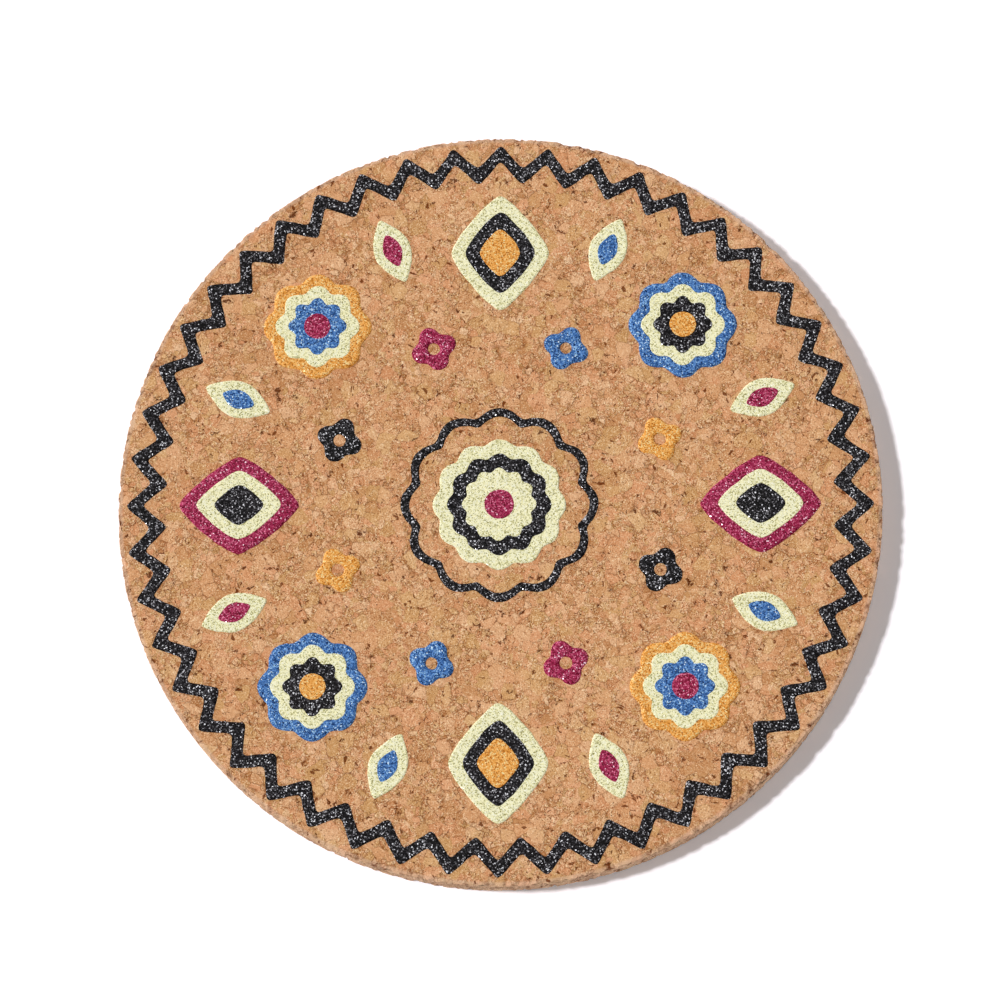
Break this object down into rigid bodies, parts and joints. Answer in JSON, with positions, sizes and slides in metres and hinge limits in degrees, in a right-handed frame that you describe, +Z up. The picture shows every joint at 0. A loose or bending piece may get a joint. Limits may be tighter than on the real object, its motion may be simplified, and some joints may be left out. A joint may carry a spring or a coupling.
{
  "type": "coaster",
  "caption": "Round cork coaster, a flat die-cut disc with a raised glitter-ink ornament on top, on which a cup or glass stands.",
  "frame": {"origin": "the middle of the underside, on the surface that the coaster lies on", "axes": "+Z up through the disc's thickness, from the underside to the printed face; +X and +Y in the plane of the disc, through two lozenges of the print each way"},
  "size_m": [0.1, 0.1, 0.0055],
  "materials": {
    "cork": "bonded cork granules, matt, light tan with dark specks and small pits",
    "ink_cream": "thick cured ink, pale cream yellow, fine glitter",
    "ink_blue": "thick cured ink, mid blue, fine glitter",
    "ink_magenta": "thick cured ink, deep magenta, fine glitter",
    "ink_orange": "thick cured ink, light orange, fine glitter",
    "ink_black": "thick cured ink, black, fine pale glitter"
  },
  "bodies": {
    "root": {"cork_disc": "cork", "zigzag_border_black": "ink_black", "lozenge_1_outer_magenta": "ink_magenta", "lozenge_1_middle_cream": "ink_cream", "lozenge_1_inner_black": "ink_black", "lozenge_2_outer_cream": "ink_cream", "lozenge_2_middle_black": "ink_black", "lozenge_2_inner_orange": "ink_orange", "lozenge_3_outer_magenta": "ink_magenta", "lozenge_3_middle_cream": "ink_cream", "lozenge_3_inner_black": "ink_black", "lozenge_4_outer_cream": "ink_cream", "lozenge_4_middle_black": "ink_black", "lozenge_4_inner_orange": "ink_orange", "daisy_1_outer_blue": "ink_blue", "daisy_1_middle_cream": "ink_cream", "daisy_1_inner_black": "ink_black", "daisy_1_eye_orange": "ink_orange", "daisy_2_outer_orange": "ink_orange", "daisy_2_middle_cream": "ink_cream", "daisy_2_inner_blue": "ink_blue", "daisy_2_eye_magenta": "ink_magenta", "daisy_3_outer_blue": "ink_blue", "daisy_3_middle_cream": "ink_cream", "daisy_3_inner_black": "ink_black", "daisy_3_eye_orange": "ink_orange", "daisy_4_outer_orange": "ink_orange", "daisy_4_middle_cream": "ink_cream", "daisy_4_inner_blue": "ink_blue", "daisy_4_eye_magenta": "ink_magenta", "leaf_1_outer_cream": "ink_cream", "leaf_1_inner_magenta": "ink_magenta", "leaf_2_outer_cream": "ink_cream", "leaf_2_inner_blue": "ink_blue", "leaf_3_outer_cream": "ink_cream", "leaf_3_inner_magenta": "ink_magenta", "leaf_4_outer_cream": "ink_cream", "leaf_4_inner_blue": "ink_blue", "leaf_5_outer_cream": "ink_cream", "leaf_5_inner_magenta": "ink_magenta", "leaf_6_outer_cream": "ink_cream", "leaf_6_inner_blue": "ink_blue", "leaf_7_outer_cream": "ink_cream", "leaf_7_inner_magenta": "ink_magenta", "leaf_8_outer_cream": "ink_cream", "leaf_8_inner_blue": "ink_blue", "clover_1_orange": "ink_orange", "clover_2_blue": "ink_blue", "clover_3_magenta": "ink_magenta", "clover_4_black": "ink_black", "clover_5_orange": "ink_orange", "clover_6_blue": "ink_blue", "clover_7_magenta": "ink_magenta", "clover_8_black": "ink_black", "wreath_black": "ink_black", "rosette_outer_cream": "ink_cream", "rosette_middle_black": "ink_black", "rosette_inner_cream": "ink_cream", "rosette_eye_magenta": "ink_magenta"}
  },
  "joints": []
}
